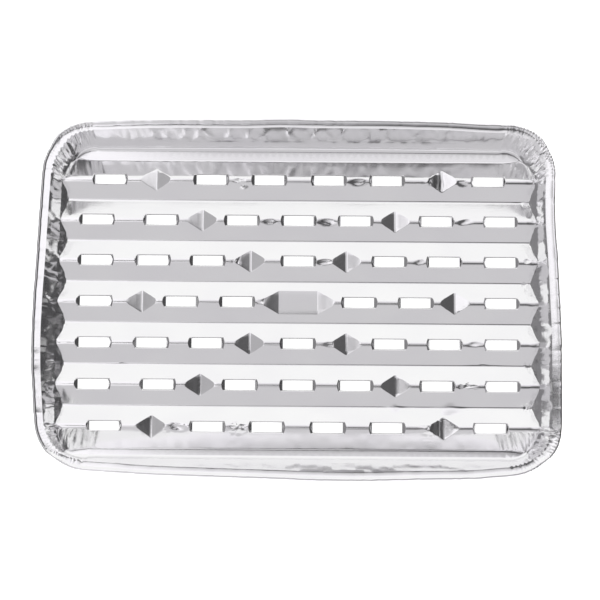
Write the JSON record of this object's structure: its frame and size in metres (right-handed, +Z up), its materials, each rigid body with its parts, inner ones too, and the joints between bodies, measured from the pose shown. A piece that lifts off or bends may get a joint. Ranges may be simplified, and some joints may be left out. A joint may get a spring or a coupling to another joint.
{
  "type": "foil grill tray",
  "caption": "Shallow disposable grill tray of aluminium foil with a ribbed floor, slots and dips along the crests, gathered corners and a rolled rim.",
  "frame": {"origin": "middle of the tray on the ground, under the feet of the ribs", "axes": "+X along the ribs and the long side, +Y across the ribs towards the back long wall, +Z up out of the open top"},
  "size_m": [0.34, 0.234, 0.025],
  "materials": {
    "foil": "bright rolled foil"
  },
  "bodies": {
    "root": {"tray": "foil"}
  },
  "joints": []
}
